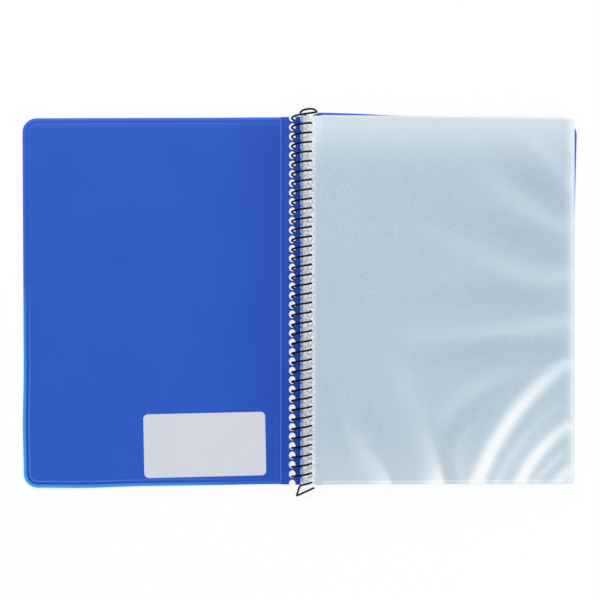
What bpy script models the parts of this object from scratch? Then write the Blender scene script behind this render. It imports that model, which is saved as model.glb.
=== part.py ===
"""A spiral-bound music folder lying open: two blue covers, clear pockets and a black wire coil.

Every piece is modelled about the coil's axis. In the comments, reach is a distance from that
axis across the page, and rise is a height above it.
"""

import math

import bmesh
import bpy
from mathutils import Vector

MM = 0.001

# Wire coil
COIL_RADIUS = 5.45 * MM
COIL_PITCH = 5.0 * MM
WIRE_DIAMETER = 1.0 * MM
POINTS_PER_TURN = 9
AXIS_HEIGHT = 6.05 * MM
BINDING_MIDDLE_Y = 0.97 * MM
FIRST_CLIMB_Y = 93.75 * MM
FIRST_TURN = -1.0
LAST_TURN = 38.26
WIDE_END_TURNS = 0.25
WIDE_END_EXTRA = 2.3 * MM
WIDE_END_CLIMB = 0.85 * MM
# The crimped ends, in millimetres from the axis: the first curls under, the last is bent back.
TOP_END = [(-1.0, 99.8, -4.9), (0.3, 101.2, -5.2), (3.0, 101.95, -4.7), (6.2, 101.6, -3.0)]
BOTTOM_END = [
    (-1.6, -98.9, 4.9),
    (-2.3, -101.2, 3.2),
    (-2.75, -103.2, 1.2),
    (-2.85, -103.8, 0.2),
    (-2.3, -103.9, -0.9),
    (-0.6, -103.4, -2.6),
    (1.8, -102.5, -3.8),
    (4.3, -101.4, -3.9),
    (6.4, -100.3, -3.0),
]
LEAST_COIL_GAP = 0.4 * MM

# Punched holes: one more than the full ones at each end runs out through the edge
FULL_HOLES = 38
HOLE_LENGTH = 4.1 * MM
HOLE_WIDTH = 3.2 * MM
HOLE_TIP = 0.55 * MM
HOLE_DEPTH = 20.0 * MM

# Covers: outer skin, board and lining, welded round the rim, with a thin strip to the coil
COVER_REACH = 147.5 * MM
COVER_HEIGHT = 196.0 * MM
COVER_CORNER = 6.0 * MM
COVER_INNER = 10.8 * MM
SKIN = 0.3 * MM
BOARD = 0.8 * MM
LINING = 0.2 * MM
LINING_CROWN = 0.1 * MM
CROWN_SLOPE = 1.5 * MM
PLAY = 0.1 * MM
RIM = 3.5 * MM
WELD_FLANGE = 2.6 * MM
STRIP_INNER = 0.9 * MM
STRIP_OUTER = 10.6 * MM
STRIP_THICKNESS = 0.6 * MM
STRIP_INNER_DROP = 2.6 * MM
STRIP_OUTER_DROP = 4.61 * MM

# Pockets: two films welded on three sides, open at the top, on a punched binding strip
POCKETS = 25
SINGLE_POCKETS = 5
SHEAF = 5
POCKET_REACH = 145.0 * MM
POCKET_HEIGHT = 195.0 * MM
POCKET_CORNER = 1.5 * MM
POCKET_INNER = 11.1 * MM
FILM = 0.1 * MM
POCKET_GAP = 0.07 * MM
POCKET_STEP = 0.34 * MM
STACK_TOP = 4.2 * MM
LEAF_INNER = 0.6 * MM
LEAF_OUTER = 11.0 * MM
EDGE_STEP = 0.168 * MM
EDGE_GAP = 0.068 * MM
EDGE_TOP = 2.1 * MM

# Label on the inside of the front cover
LABEL_SIZE = (66.0 * MM, 34.0 * MM)
LABEL_MIDDLE = (-51.0 * MM, -77.0 * MM)
LABEL_CORNER = 2.5 * MM
LABEL_THICKNESS = 0.12 * MM
LABEL_TURN = math.radians(1.0)

CORNER_STEPS = 5


# Materials

def finish(name, colour, roughness, metallic=0.0, alpha=1.0):
    material = bpy.data.materials.new(name)
    material.use_nodes = True
    shader = material.node_tree.nodes["Principled BSDF"]
    shader.inputs["Base Color"].default_value = (*colour, 1.0)
    shader.inputs["Roughness"].default_value = roughness
    shader.inputs["Metallic"].default_value = metallic
    shader.inputs["Alpha"].default_value = alpha
    return material


# Outlines and solids

def arc(centre, radius, start, end, steps=CORNER_STEPS):
    """Points of an arc, from the start angle to the end angle in degrees."""
    points = []
    for step in range(steps + 1):
        angle = math.radians(start + (end - start) * step / steps)
        points.append((centre[0] + radius * math.cos(angle), centre[1] + radius * math.sin(angle)))
    return points


def page_outline(inner, outer, height, corner):
    """A page with square corners at the binding and round corners at the fore edge."""
    top = height / 2
    fore = outer - corner
    turned_in = top - corner
    lower = arc((fore, -turned_in), corner, -90, 0)
    upper = arc((fore, turned_in), corner, 0, 90)
    return [(inner, -top), *lower, *upper, (inner, top)]


def round_rectangle(width, height, corner):
    across = width / 2 - corner
    up = height / 2 - corner
    return (
        arc((across, -up), corner, -90, 0)
        + arc((across, up), corner, 0, 90)
        + arc((-across, up), corner, 90, 180)
        + arc((-across, -up), corner, 180, 270)
    )


def extruded(corners, along):
    """A bmesh of a flat face of the given corners, extruded, and the face at its far end."""
    shape = bmesh.new()
    face = shape.faces.new([shape.verts.new(corner) for corner in corners])
    far_end = bmesh.ops.extrude_face_region(shape, geom=[face])["geom"]
    moved = [item for item in far_end if isinstance(item, bmesh.types.BMVert)]
    bmesh.ops.translate(shape, verts=moved, vec=along)
    far_face = next(item for item in far_end if isinstance(item, bmesh.types.BMFace))
    return shape, far_face


def plate(outline, low, high, side=1):
    """A flat sheet of the outline, on the right of the axis or, with side -1, on its left."""
    corners = [(side * x, y, low) for x, y in outline]
    return extruded(corners, Vector((0, 0, high - low)))


def pressed_in(shape, face, width, depth):
    """Sinks the middle of a face, leaving a rim of the given width."""
    bmesh.ops.inset_individual(shape, faces=[face], thickness=width, use_even_offset=True)
    sunk = bmesh.ops.extrude_face_region(shape, geom=[face])["geom"]
    moved = [item for item in sunk if isinstance(item, bmesh.types.BMVert)]
    bmesh.ops.translate(shape, verts=moved, vec=Vector((0, 0, -depth)))
    bmesh.ops.delete(shape, geom=[face], context="FACES_ONLY")


def placed(name, shape, axis, material, shift=0.0):
    """The finished object, carried by an empty on the coil's axis and shifted along it."""
    bmesh.ops.recalc_face_normals(shape, faces=shape.faces)
    mesh = bpy.data.meshes.new(name)
    shape.to_mesh(mesh)
    shape.free()
    mesh.materials.append(material)
    piece = bpy.data.objects.new(name, mesh)
    piece.parent = axis
    piece.location.y = shift
    bpy.context.scene.collection.objects.link(piece)
    return piece


def turning_axis(name, carrier):
    """An empty on the coil's axis that carries one turning body."""
    axis = bpy.data.objects.new(name, None)
    axis.parent = carrier
    bpy.context.scene.collection.objects.link(axis)
    return axis


# Binding strips

def oval_hole(sides):
    """A punched hole's outline: an oblong of 4, 6 or 8 corners about its own middle."""
    across = HOLE_WIDTH / 2
    up = HOLE_LENGTH / 2
    if sides == 4:
        return [(-across, -up), (across, -up), (across, up), (-across, up)]
    shoulder = up - HOLE_TIP
    flat = across - HOLE_TIP if sides == 8 else 0.0
    right = [(flat, -up), (across, -shoulder), (across, shoulder), (flat, up)]
    left = [(-x, -y) for x, y in right]
    return right + left if sides == 8 else right + left[1:3]


def hole_place(section):
    """Where the middle of a binding strip meets the wire: its reach and its rise."""
    (inner, low_in), (_, high_in), (outer, high_out), (_, low_out) = section
    rise_in = (low_in + high_in) / 2
    slope = ((low_out + high_out) / 2 - rise_in) / (outer - inner)
    at_axis = rise_in - slope * inner
    square = 1 + slope * slope
    half = slope * at_axis
    reach = (math.sqrt(half * half - square * (at_axis**2 - COIL_RADIUS**2)) - half) / square
    return reach, at_axis + slope * reach


def creep(section):
    """How far a leaf sits along the wire, which climbs as it goes round."""
    reach, rise = hole_place(section)
    return -COIL_PITCH * math.atan2(rise, reach) / math.tau


def hole_cutter(name, section, side, sides):
    """One prism for each hole, all in one helper mesh."""
    reach, rise = hole_place(section)
    shape = bmesh.new()
    for number in range(-1, FULL_HOLES + 1):
        middle = ((FULL_HOLES - 1) / 2 - number) * COIL_PITCH
        outline = [(side * (reach + x), middle + y) for x, y in oval_hole(sides)]
        prism, _ = plate(outline, rise - HOLE_DEPTH / 2, rise + HOLE_DEPTH / 2)
        bmesh.ops.recalc_face_normals(prism, faces=prism.faces)
        copy = bpy.data.meshes.new(name)
        prism.to_mesh(copy)
        prism.free()
        shape.from_mesh(copy)
        bpy.data.meshes.remove(copy)
    return shape


def binding_strip(name, section, height, axis, material, shift, sides, side=1):
    """A strip of the given cross-section along the coil, punched for the wire."""
    corners = [(side * reach, -height / 2, rise) for reach, rise in section]
    shape, _ = extruded(corners, Vector((0, height, 0)))
    strip = placed(name, shape, axis, material, shift)
    holes = hole_cutter(name + "_holes", section, side, sides)
    cutter = placed(name + "_holes", holes, axis, material, shift)
    cutter.hide_render = True
    cutter.display_type = "WIRE"
    punch = strip.modifiers.new("punched holes", "BOOLEAN")
    punch.operation = "DIFFERENCE"
    punch.object = cutter
    return strip


# Covers

def cover(name, side, axis, blue, card, shift_sign):
    """One cover lying flat: tray-shaped skin, board, lining and the strip that the coil holds."""
    floor = -AXIS_HEIGHT
    board_low = floor + SKIN + PLAY
    rim_top = board_low + BOARD
    lining_low = rim_top + PLAY
    lining_top = lining_low + LINING
    section = [
        (STRIP_INNER, -STRIP_INNER_DROP - STRIP_THICKNESS / 2),
        (STRIP_INNER, -STRIP_INNER_DROP + STRIP_THICKNESS / 2),
        (STRIP_OUTER, -STRIP_OUTER_DROP + STRIP_THICKNESS / 2),
        (STRIP_OUTER, -STRIP_OUTER_DROP - STRIP_THICKNESS / 2),
    ]
    shift = shift_sign * creep(section)

    outline = page_outline(COVER_INNER, COVER_REACH, COVER_HEIGHT, COVER_CORNER)
    skin, face = plate(outline, floor, rim_top, side)
    pressed_in(skin, face, RIM, rim_top - floor - SKIN)
    placed(name + "_skin", skin, axis, blue, shift)

    board_edge = RIM + 2 * PLAY
    outline = page_outline(
        COVER_INNER + board_edge,
        COVER_REACH - board_edge,
        COVER_HEIGHT - 2 * board_edge,
        COVER_CORNER - RIM,
    )
    board, _ = plate(outline, board_low, rim_top, side)
    placed(name + "_board", board, axis, card, shift)

    outline = page_outline(
        COVER_INNER,
        COVER_REACH - WELD_FLANGE,
        COVER_HEIGHT - 2 * WELD_FLANGE,
        COVER_CORNER - WELD_FLANGE / 2,
    )
    lining, face = plate(outline, lining_low, lining_top, side)
    crowned = LINING_CROWN if face.normal.z >= 0 else -LINING_CROWN
    bmesh.ops.inset_individual(
        lining, faces=[face], thickness=CROWN_SLOPE, depth=crowned, use_even_offset=True
    )
    placed(name + "_lining", lining, axis, blue, shift)

    binding_strip(name + "_binding_strip", section, COVER_HEIGHT, axis, blue, shift, 8, side)
    return lining_top + LINING_CROWN


def label(axis, height, paper):
    outline = round_rectangle(*LABEL_SIZE, LABEL_CORNER)
    low = height + PLAY / 2
    shape, _ = plate(outline, low, low + LABEL_THICKNESS)
    piece = placed("label", shape, axis, paper)
    piece.location.x, piece.location.y = LABEL_MIDDLE
    piece.rotation_euler.z = LABEL_TURN


# Pockets

def strip_section(first, last):
    """The cross-section of the binding strip of the pockets from first to last."""
    low_in = EDGE_TOP - EDGE_STEP * last
    high_in = EDGE_TOP - EDGE_STEP * (first - 1) - EDGE_GAP
    low_out = STACK_TOP - POCKET_STEP * last
    high_out = STACK_TOP - POCKET_STEP * (first - 1) - POCKET_GAP
    if first == last:
        low_out = (low_out + high_out - FILM) / 2
        high_out = low_out + FILM
    return [(LEAF_INNER, low_in), (LEAF_INNER, high_in), (LEAF_OUTER, high_out), (LEAF_OUTER, low_out)]


def pocket_sheet(name, low, high, axis, film, shift):
    outline = page_outline(POCKET_INNER, POCKET_REACH, POCKET_HEIGHT, POCKET_CORNER)
    sheet, _ = plate(outline, low, high)
    placed(name, sheet, axis, film, shift)


def single_pocket(number, axis, film, strip):
    """A pocket whose two films stand apart, so that its space is open."""
    name = f"pocket_{number:02d}"
    section = strip_section(number, number)
    shift = creep(section)
    low = STACK_TOP - POCKET_STEP * number
    front = low + FILM + POCKET_GAP
    pocket_sheet(name + "_rear_film", low, low + FILM, axis, film, shift)
    pocket_sheet(name + "_front_film", front, front + FILM, axis, film, shift)
    binding_strip(name + "_binding_strip", section, POCKET_HEIGHT, axis, strip, shift, 6)


def sheaf(first, last, axis, film, strip):
    """Pockets that lie flat and turn together, on one punched strip."""
    section = strip_section(first, last)
    shift = creep(section)
    for number in range(first, last + 1):
        low = STACK_TOP - POCKET_STEP * number
        pocket_sheet(f"pocket_{number:02d}", low, low + 2 * FILM + POCKET_GAP, axis, film, shift)
    name = f"sheaf_{first:02d}_{last:02d}_binding_strip"
    binding_strip(name, section, POCKET_HEIGHT, axis, strip, shift, 4)


def pockets(axis, film, strip):
    """Each body's axis hangs on that of the body below it, which it turns with."""
    for last in range(POCKETS, SINGLE_POCKETS, -SHEAF):
        first = last - SHEAF + 1
        axis = turning_axis(f"sheaf_{first:02d}_{last:02d}_axis", axis)
        sheaf(first, last, axis, film, strip)
    for number in range(SINGLE_POCKETS, 0, -1):
        axis = turning_axis(f"pocket_{number:02d}_axis", axis)
        single_pocket(number, axis, film, strip)


# Coil

def coil_point(turn):
    """A point of the wire, counted in turns from where it climbs through the first full hole."""
    angle = math.tau * turn
    wide = max(0.0, 1 - (turn - FIRST_TURN) / WIDE_END_TURNS) ** 2
    radius = COIL_RADIUS + WIDE_END_EXTRA * wide
    along = FIRST_CLIMB_Y - COIL_PITCH * turn + WIDE_END_CLIMB * wide
    return Vector((radius * math.cos(angle), along, radius * math.sin(angle)))


def coil_route():
    steps = round((LAST_TURN - FIRST_TURN) * POINTS_PER_TURN)
    turns = [FIRST_TURN + (LAST_TURN - FIRST_TURN) * step / steps for step in range(steps + 1)]
    top = [Vector(point) * MM for point in TOP_END]
    bottom = [Vector(point) * MM for point in BOTTOM_END]
    return top + [coil_point(turn) for turn in turns] + bottom


def least_gap(route):
    """The least clear distance between stretches of the wire half a turn or more apart."""
    apart = POINTS_PER_TURN // 2
    nearest = min(
        (first - second).length
        for number, first in enumerate(route)
        for second in route[number + apart : number + 3 * POINTS_PER_TURN]
    )
    return nearest - WIRE_DIAMETER


def spiral_coil(axis, black):
    route = coil_route()
    curve = bpy.data.curves.new("spiral_coil", "CURVE")
    curve.dimensions = "3D"
    curve.bevel_depth = WIRE_DIAMETER / 2
    curve.bevel_resolution = 1
    curve.use_fill_caps = True
    spline = curve.splines.new("POLY")
    spline.points.add(len(route) - 1)
    for point, place in zip(spline.points, route):
        point.co = (*place, 1.0)
    curve.materials.append(black)
    coil = bpy.data.objects.new("spiral_coil", curve)
    coil.parent = axis
    bpy.context.scene.collection.objects.link(coil)
    gap = least_gap(route)
    print(f"least gap between the coil's turns: {gap / MM:.2f} mm")
    if gap < LEAST_COIL_GAP:
        raise ValueError("the coil's turns come too close")


def clear_scene():
    for thing in list(bpy.data.objects):
        bpy.data.objects.remove(thing, do_unlink=True)


def main():
    clear_scene()
    blue = finish("blue vinyl", (0.03, 0.10, 0.52), 0.45)
    card = finish("grey board", (0.42, 0.39, 0.34), 0.9)
    film = finish("clear matt film", (0.62, 0.72, 0.80), 0.35, alpha=0.45)
    strip = finish("welded film strip", (0.80, 0.84, 0.88), 0.5, alpha=0.75)
    black = finish("black wire", (0.01, 0.01, 0.012), 0.35)
    paper = finish("label paper", (0.80, 0.81, 0.88), 0.7)

    binding = turning_axis("binding_axis", None)
    binding.location = (0, BINDING_MIDDLE_Y, AXIS_HEIGHT)
    spiral_coil(binding, black)
    cover("back_cover", 1, binding, blue, card, 1)
    front = turning_axis("front_cover_axis", binding)
    lining_top = cover("front_cover", -1, front, blue, card, -1)
    label(front, lining_top, paper)
    pockets(binding, film, strip)


main()
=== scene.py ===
"""Looks of a spiral-bound music folder that lies open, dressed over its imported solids.

Lengths are in metres. Every piece is laid out about the coil's axis: reach is the distance from
that axis across the page, along runs up the page, and rise is the height above the axis.
"""

import math
from typing import NamedTuple

import bmesh
import bpy
import numpy as np
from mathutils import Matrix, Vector

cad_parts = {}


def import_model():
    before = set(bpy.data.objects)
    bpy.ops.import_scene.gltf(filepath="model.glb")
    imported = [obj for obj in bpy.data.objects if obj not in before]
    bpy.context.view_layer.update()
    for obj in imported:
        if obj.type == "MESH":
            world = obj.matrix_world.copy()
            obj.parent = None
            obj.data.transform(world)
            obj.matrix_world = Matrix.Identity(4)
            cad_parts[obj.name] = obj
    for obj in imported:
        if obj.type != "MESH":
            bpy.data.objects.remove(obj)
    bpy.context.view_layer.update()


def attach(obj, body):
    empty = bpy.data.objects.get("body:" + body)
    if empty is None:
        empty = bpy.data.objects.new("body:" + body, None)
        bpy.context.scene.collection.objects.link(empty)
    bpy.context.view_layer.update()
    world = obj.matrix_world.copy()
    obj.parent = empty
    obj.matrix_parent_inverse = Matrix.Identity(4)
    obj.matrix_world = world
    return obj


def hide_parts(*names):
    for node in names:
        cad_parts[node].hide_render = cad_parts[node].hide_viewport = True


MM = 0.001

# The coil's axis, and the wire wound about it
AXIS_HEIGHT = 6.05 * MM
BINDING_MIDDLE_Y = 0.97 * MM
COIL_RADIUS = 5.45 * MM
COIL_PITCH = 5.0 * MM
WIRE_DIAMETER = 1.08 * MM
WIRE_SIDES = 12
POINTS_PER_TURN = 28
FIRST_CLIMB_Y = 93.75 * MM
FIRST_TURN = -1.0
LAST_TURN = 38.26
WIDE_END_TURNS = 0.25
WIDE_END_EXTRA = 2.3 * MM
WIDE_END_CLIMB = 0.85 * MM
TOP_END = [(-1.0, 99.8, -4.9), (0.3, 101.2, -5.2), (3.0, 101.95, -4.7), (6.2, 101.6, -3.0)]
BOTTOM_END = [
    (-1.6, -98.9, 4.9),
    (-2.3, -101.2, 3.2),
    (-2.75, -103.2, 1.2),
    (-2.85, -103.8, 0.2),
    (-2.3, -103.9, -0.9),
    (-0.6, -103.4, -2.6),
    (1.8, -102.5, -3.8),
    (4.3, -101.4, -3.9),
    (6.4, -100.3, -3.0),
]
END_STEPS = 8

# Punched holes: one more than the full ones at each end runs out through the edge
FULL_HOLES = 38
HOLE_LENGTH = 4.1 * MM
HOLE_WIDTH = 3.4 * MM
FRONT_HOLE_INWARD = -0.8 * MM
LEAF_HOLE_WIDTH = 2.4 * MM
LEAF_HOLE_INWARD = 0.55 * MM
HOLE_POINTS = 24

# Covers
COVER_REACH = 147.5 * MM
COVER_HEIGHT = 196.0 * MM
COVER_CORNER = 7.5 * MM
CORNER_ZONE = 10.0 * MM
STRIP_INNER = 0.75 * MM
BACK_STRIP_INNER = -0.5 * MM
STRIP_OUTER = 10.6 * MM
STRIP_TUCK = 0.5 * MM
STRIP_THICKNESS = 0.6 * MM
STRIP_INNER_DROP = 2.57 * MM
STRIP_OUTER_DROP = 4.61 * MM
PANEL_SPACING = 6.0 * MM
LEAST_THICKNESS = 0.4 * MM
WAVE_HEIGHT = 0.05 * MM
WAVE_ACROSS = 19.0 * MM
WAVE_ALONG = 27.0 * MM
WAVE_MARGIN = 20.0 * MM
GROOVE_PLACE = 2.3 * MM
GROOVE_WIDTH = 0.7 * MM
GROOVE_FILL = 0.32 * MM
WELD_MARGIN = 1.2 * MM
NO_RIM_MARK = 9.0

# The front cover's curled and slightly swollen lower fore corner
CURL_HEIGHT = 1.3 * MM
CURL_REACH = 45.0 * MM
# How far the curled corner's painted shine reaches
CURL_SHINE_REACH = 108.0 * MM
EDGE_SWELL = 0.6 * MM
SWELL_PLACE = 33.0 * MM
SWELL_WIDTH = 18.0 * MM

# Boards inside the covers
BOARD_INSET = 4.0 * MM
BOARD_INNER = 14.5 * MM
BOARD_CORNER = 5.0 * MM
BOARD_LOW = 0.4 * MM
BOARD_THICKNESS = 0.8 * MM

# Pages slide just beyond their holes, and turn little by little beyond their binding strips
HOLES_END = 6.2 * MM
SLIDE_RAMP = 2.5 * MM
TURN_RAMP = 35.0 * MM


class Lie(NamedTuple):
    """How a page lies askew in its own plane; growth is how much more it turns at its top."""

    turn: float = 0.0
    growth: float = 0.0
    across: float = 0.0
    along: float = 0.0


FLAT_LIE = Lie()
POCKET_LIE = Lie(turn=math.radians(-0.2), along=0.22 * MM)
BACK_COVER_LIE = Lie(turn=math.radians(-1.32), growth=0.2, across=-1.37 * MM, along=1.62 * MM)
FRONT_COVER_LIE = Lie(turn=math.radians(-0.48), across=0.37 * MM)
# The folds listed below are set out square to the front cover, and turned with it by this
FOLD_LIE = Lie(turn=math.radians(0.48), across=-0.37 * MM)

# A cover's section: distance in from the edge, top and underside, in millimetres above the floor
RIM_SECTION = [
    (0.0, 0.70, 0.26),
    (0.25, 0.94, 0.08),
    (0.7, 1.02, 0.02),
    (1.1, 1.03, 0.02),
    (1.6, 1.02, 0.02),
    (1.9, 0.86, 0.12),
    (2.2, 0.72, 0.20),
    (2.6, 0.90, 0.10),
    (3.2, 1.28, 0.02),
    (4.4, 1.50, 0.0),
    (6.3, 1.60, 0.0),
    (9.0, 1.64, 0.0),
    (14.0, 1.66, 0.0),
]
WELD_SECTION = [
    (0.0, 1.42, 0.90),
    (0.35, 1.66, 0.72),
    (0.8, 1.66, 0.52),
    (1.2, 1.36, 0.34),
    (1.6, 1.26, 0.22),
    (2.0, 1.46, 0.12),
    (2.5, 1.56, 0.05),
    (3.2, 1.60, 0.0),
    (5.0, 1.66, 0.0),
]

# Pockets
POCKETS = 25
SINGLE_POCKETS = 5
SHEAF = 5
POCKET_REACH = 144.6 * MM
POCKET_HEIGHT = 195.0 * MM
POCKET_CORNER = 1.5 * MM
POCKET_CORNER_ZONE = 4.5 * MM
POCKET_INNER = 10.6 * MM
FILM = 0.075 * MM
FILM_HAZE = 0.31
STRIP_HAZE = 0.46
POCKET_GAP = 0.095 * MM
POCKET_STEP = 0.34 * MM
LEAF_GAP = 0.07 * MM
STACK_TOP = 4.2 * MM
LEAF_INNER = 0.6 * MM
LEAF_OUTER = 11.0 * MM
EDGE_STEP = 0.168 * MM
EDGE_GAP = 0.068 * MM
EDGE_TOP = 2.1 * MM
FORE_SINK = 0.7 * MM
FORE_TRIM = 0.4 * MM
STACK_SCATTER = 0.35 * MM
STACK_SKEW = math.radians(0.10)
SEAM_PLACE = 1.6 * MM
SEAM_WIDTH = 0.5 * MM
SEAM_PRESS = 0.03 * MM
CREASED_REACH = 78.0 * MM
CREASED_ALONG = -30.0 * MM
CREASED_SPACING = 1.6 * MM
SMOOTH_SPACING_ACROSS = 2.5 * MM
SMOOTH_SPACING_ALONG = 3.2 * MM

# Folds pressed into the pockets, in millimetres: three points, the widths on the left and the
# right of the way along, and the painted highlight (or, if negative, the painted shade) of the fold at
# each point
FOLDS = [
    ((139.5, -35.0), (111.5, -62.5), (92.0, -97.0), (3.9, 3.9), (0.50, 1.10, 1.10)),
    ((136.5, -57.0), (118.0, -73.5), (102.5, -97.0), (2.4, 2.4), (0.15, 0.30, 0.35)),
    ((140.0, -68.0), (125.5, -81.0), (115.0, -97.0), (3.4, 3.2), (0.60, 1.00, 1.05)),
    ((136.5, -83.5), (130.0, -89.5), (123.0, -97.0), (2.0, 2.0), (0.30, 0.35, 0.35)),
    ((140.0, -92.0), (137.5, -94.5), (134.5, -97.5), (2.8, 2.8), (0.50, 0.60, 0.50)),
    ((140.0, -60.0), (125.0, -70.0), (108.0, -90.0), (15.0, 15.0), (0.06, 0.12, 0.06)),
    ((72.0, -97.0), (70.0, -84.0), (62.0, -64.0), (7.0, 2.4), (0.85, 0.30, 0.12)),
    ((62.0, -64.0), (54.0, -46.0), (43.0, -23.0), (6.0, 6.0), (0.12, 0.10, 0.0)),
    ((44.5, -97.0), (41.0, -90.0), (30.0, -75.0), (9.0, 2.4), (0.60, 0.30, 0.14)),
    ((30.0, -75.0), (22.0, -66.0), (14.5, -45.0), (5.0, 5.0), (0.14, 0.10, 0.0)),
    ((107.5, -41.0), (89.0, -49.0), (74.0, -63.0), (5.0, 5.5), (0.08, 0.16, 0.10)),
    ((85.5, -97.0), (83.0, -76.0), (93.0, -59.0), (4.0, 4.0), (0.14, 0.10, 0.05)),
    ((139.0, -11.5), (105.0, -18.0), (55.0, -19.5), (5.0, 5.0), (0.22, 0.21, 0.05)),
    ((139.0, 14.0), (116.0, 13.5), (68.0, 39.0), (6.5, 7.0), (0.20, 0.18, 0.04)),
    ((139.0, 39.0), (117.5, 49.5), (99.0, 66.0), (6.0, 6.5), (0.17, 0.16, 0.06)),
    ((143.0, 61.0), (133.0, 75.0), (120.0, 88.0), (5.0, 5.0), (0.16, 0.14, 0.06)),
    ((138.0, -28.0), (100.0, -28.0), (62.0, -32.5), (5.5, 5.5), (-0.25, -0.36, -0.10)),
    ((138.0, -3.5), (105.0, 2.0), (56.0, -1.0), (6.0, 6.0), (-0.15, -0.34, -0.10)),
    ((138.0, 23.0), (116.0, 33.5), (72.0, 48.0), (7.0, 7.0), (-0.20, -0.34, -0.10)),
    ((139.0, 49.0), (124.5, 62.0), (106.0, 77.0), (6.0, 6.0), (-0.22, -0.34, -0.14)),
    ((77.0, -94.0), (81.0, -68.0), (116.0, -45.0), (3.2, 3.2), (-0.20, -0.28, -0.05)),
    ((48.5, -95.0), (46.0, -79.0), (33.0, -56.0), (3.5, 3.5), (-0.22, -0.18, -0.05)),
    ((22.0, -80.0), (17.0, -61.0), (14.5, -45.0), (3.5, 3.5), (-0.12, -0.15, -0.05)),
]
FOLD_SAMPLES = 24
FOLD_SPREAD = 2.4
FOLD_DEPTH = 0.8 * MM
FOLD_LIMIT = 1.1

# Label on the inside of the front cover
LABEL_SIZE = (64.7 * MM, 33.8 * MM)
LABEL_MIDDLE = (-51.6 * MM, -77.4 * MM)
LABEL_CORNER = 2.5 * MM
LABEL_LOW = 1.68 * MM
LABEL_THICKNESS = 0.12 * MM
LABEL_TURN = math.radians(1.16)
LABEL_SPACING = 4.0 * MM
LABEL_WEAR = 0.04 * MM
LABEL_WEAR_WIDTH = 0.25 * MM

# Camera, laid over the photographed outline, and the studio
CAMERA_PLACE = (-22.49 * MM, -8.89 * MM, 650.0 * MM)
CAMERA_TURN = (0.84, -1.90, 0.0)
CAMERA_LENS = 72.9
CAMERA_SENSOR = 36.0
SURROUND_STRENGTH = 0.70
FLOOR_SIZE = 24.0
FLOOR_DROP = 0.3 * MM
FLOOR_WHITENESS = 0.78


# Node trees

class Link:
    """A socket that adds Math nodes to its tree when it is used in an expression."""

    def __init__(self, sheet, socket):
        self.sheet = sheet
        self.socket = socket

    def __add__(self, other):
        return self.sheet.maths("ADD", self, other)

    def __radd__(self, other):
        return self.sheet.maths("ADD", other, self)

    def __sub__(self, other):
        return self.sheet.maths("SUBTRACT", self, other)

    def __rsub__(self, other):
        return self.sheet.maths("SUBTRACT", other, self)

    def __mul__(self, other):
        return self.sheet.maths("MULTIPLY", self, other)

    def __rmul__(self, other):
        return self.sheet.maths("MULTIPLY", other, self)


class NodeSheet:
    """A node tree and the one method that adds any node to it."""

    def __init__(self, tree):
        self.tree = tree

    def fill(self, socket, value):
        if isinstance(value, Link):
            self.tree.links.new(value.socket, socket)
        elif socket.type == "RGBA" and len(value) == 3:
            socket.default_value = (*value, 1.0)
        else:
            socket.default_value = value

    def node(self, kind, settings=None, values=None, output=0):
        """Adds a node: its settings come first, then the values or links of its sockets."""
        node = self.tree.nodes.new(kind)
        for name, value in (settings or {}).items():
            setattr(node, name, value)
        for key, value in (values or {}).items():
            self.fill(node.inputs[key], value)
        return Link(self, node.outputs[output]) if node.outputs else node

    def maths(self, operation, first, second):
        return self.node("ShaderNodeMath", {"operation": operation}, {0: first, 1: second})


class Finish(NodeSheet):
    """A material whose pattern is worked out by nodes."""

    def __init__(self, name, **constants):
        self.material = bpy.data.materials.new(name)
        self.material.use_nodes = True
        super().__init__(self.material.node_tree)
        self.shader = self.tree.nodes["Principled BSDF"]
        for socket, value in constants.items():
            self.fill(self.shader.inputs[socket.replace("_", " ")], value)
        self.place = self.node("ShaderNodeTexCoord", output="Object")

    def noise(self, scale, detail=3.0, roughness=0.55, stretch=None):
        where = self.place
        if stretch:
            where = self.node("ShaderNodeMapping", values={"Vector": where, "Scale": stretch})
        values = {"Vector": where, "Scale": scale, "Detail": detail, "Roughness": roughness}
        return self.node("ShaderNodeTexNoise", values=values, output="Fac")

    def cells(self, scale):
        settings = {"feature": "SMOOTH_F1"}
        values = {"Vector": self.place, "Scale": scale, "Smoothness": 0.6}
        return self.node("ShaderNodeTexVoronoi", settings, values, "Distance")

    def attribute(self, name):
        return self.node("ShaderNodeAttribute", {"attribute_name": name}, output="Fac")

    def axis(self, number):
        return self.node("ShaderNodeSeparateXYZ", values={0: self.place}, output=number)

    def between(self, value, low, high):
        """0 below the low value, 1 above the high one, and smooth between them."""
        settings = {"interpolation_type": "SMOOTHSTEP"}
        values = {"Value": value, "From Min": low, "From Max": high}
        return self.node("ShaderNodeMapRange", settings, values)

    def line(self, value, middle, half_width):
        """1 on a line at the given value, falling to 0 on both of its sides."""
        rising = self.between(value, middle - half_width, middle)
        falling = self.between(value, middle, middle + half_width)
        return rising - falling

    def mixed(self, factor, first, second):
        values = {0: factor, 6: first, 7: second}
        return self.node("ShaderNodeMix", {"data_type": "RGBA"}, values, 2)

    def bump(self, height, strength, distance):
        values = {"Height": height, "Strength": strength, "Distance": distance}
        return self.node("ShaderNodeBump", values=values)

    def wear(self, **links):
        for socket, link in links.items():
            self.fill(self.shader.inputs[socket.replace("_", " ")], link)
        return self.material


# Finishes

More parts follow.
